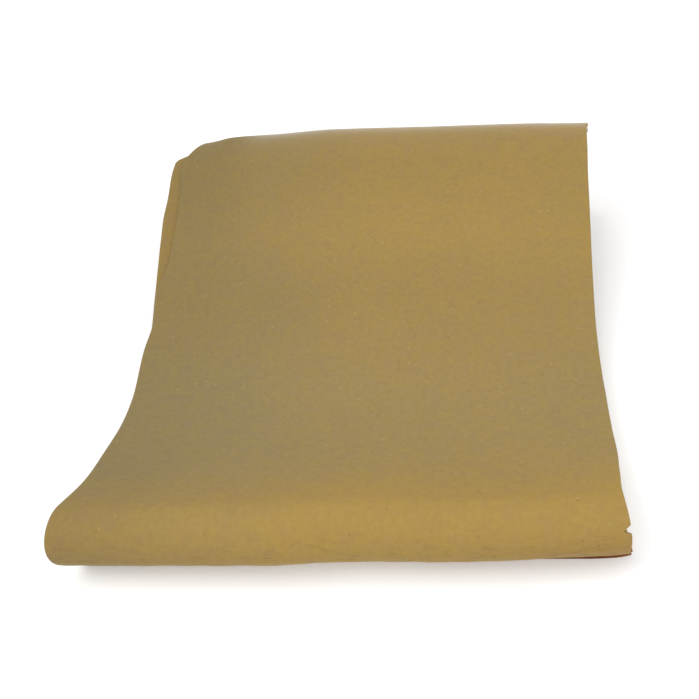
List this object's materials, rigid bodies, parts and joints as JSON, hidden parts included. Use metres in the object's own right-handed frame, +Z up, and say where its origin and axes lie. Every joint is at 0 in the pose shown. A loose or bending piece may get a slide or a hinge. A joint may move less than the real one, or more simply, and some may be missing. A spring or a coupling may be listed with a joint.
{
  "type": "folded synthetic chamois cloth",
  "caption": "Soft felted drying cloth, doubled sideways and folded zigzag with a round roll at the front and a raised bend at the back, for wiping water off a surface.",
  "frame": {"origin": "on the table, under the middle of the folded pack's bounding box", "axes": "+X along the front roll towards the cut edges, +Y from the roll to the back bend, +Z up from the table"},
  "size_m": [0.2086, 0.2223, 0.0586],
  "materials": {
    "chamois": "matte felted nonwoven, tan, with fine fibres and a soft nap"
  },
  "bodies": {
    "base": {"base_leaf_upper_ply": "chamois", "base_leaf_lower_ply": "chamois", "base_leaf_side_fold": "chamois", "back_bend_inner_ply": "chamois", "back_bend_outer_ply": "chamois", "back_bend_side_fold": "chamois"},
    "middle": {"middle_leaf_lower_ply": "chamois", "middle_leaf_upper_ply": "chamois", "middle_leaf_side_fold": "chamois", "front_bend_outer_ply": "chamois", "front_bend_inner_ply": "chamois", "front_bend_side_fold": "chamois"},
    "top": {"top_leaf_upper_ply": "chamois", "top_leaf_lower_ply": "chamois", "top_leaf_side_fold": "chamois"}
  },
  "joints": [
    {"name": "back_fold", "type": "hinge", "parent": "base", "child": "middle", "pos_m": [0, 0.0842, 0.02705], "axis": [-1, 0, 0], "range_deg": [0, 120], "deforming": ["back_bend_inner_ply", "back_bend_outer_ply", "back_bend_side_fold"]},
    {"name": "front_fold", "type": "hinge", "parent": "middle", "child": "top", "pos_m": [0, -0.0992, 0.01655], "axis": [1, 0, 0], "range_deg": [0, 165], "deforming": ["front_bend_inner_ply", "front_bend_outer_ply", "front_bend_side_fold"]}
  ]
}
